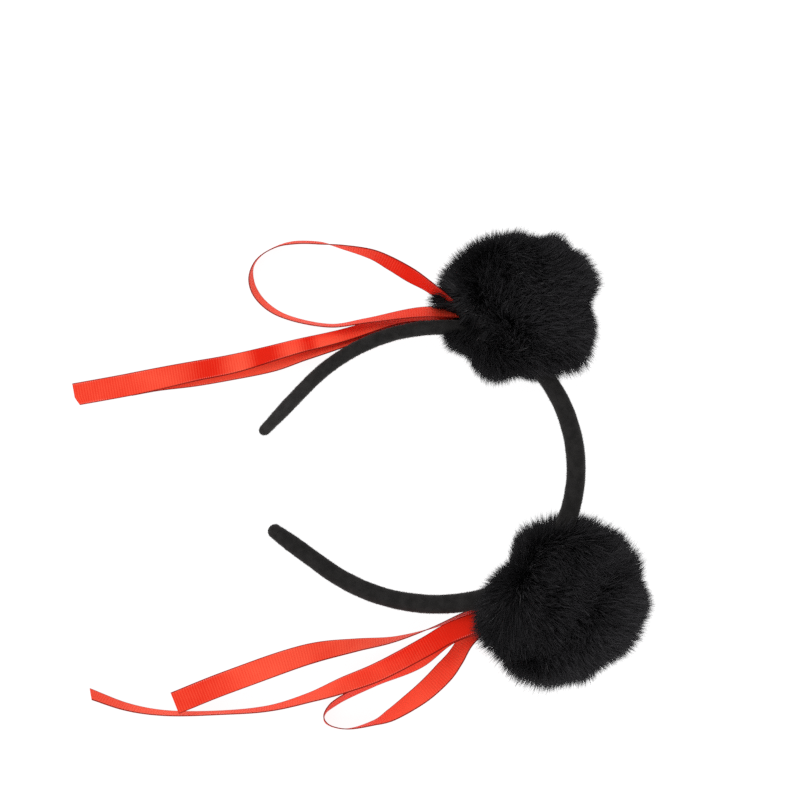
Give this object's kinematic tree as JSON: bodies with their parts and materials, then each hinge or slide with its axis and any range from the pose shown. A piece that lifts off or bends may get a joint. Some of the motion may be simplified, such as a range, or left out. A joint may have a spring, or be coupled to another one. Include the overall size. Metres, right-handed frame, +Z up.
{
  "type": "plush headband",
  "caption": "Black velvet-covered hoop headband with round black fur pompoms on its shoulders and looped, trailing red satin ribbons, lying flat on its tips and pompoms.",
  "frame": {"origin": "middle of the box's foot, on the surface that the headband lies on", "axes": "+X from the hoop's open tips towards its crown, +Y towards the back pompom, +Z up from the surface"},
  "size_m": [0.2629, 0.2294, 0.0725],
  "materials": {
    "velvet": "black velvet with a short nap",
    "fur": "deep black faux fur",
    "satin": "red satin ribbon with a fine rib and woven edges"
  },
  "bodies": {
    "root": {"headband_hoop": "velvet", "pompom_back": "fur", "pompom_front": "fur", "ribbon_loop_back": "satin", "ribbon_top_tail_back": "satin", "ribbon_under_tail_back": "satin", "ribbon_short_tail_front": "satin", "ribbon_long_tail_front": "satin", "ribbon_loop_front": "satin"}
  },
  "joints": []
}
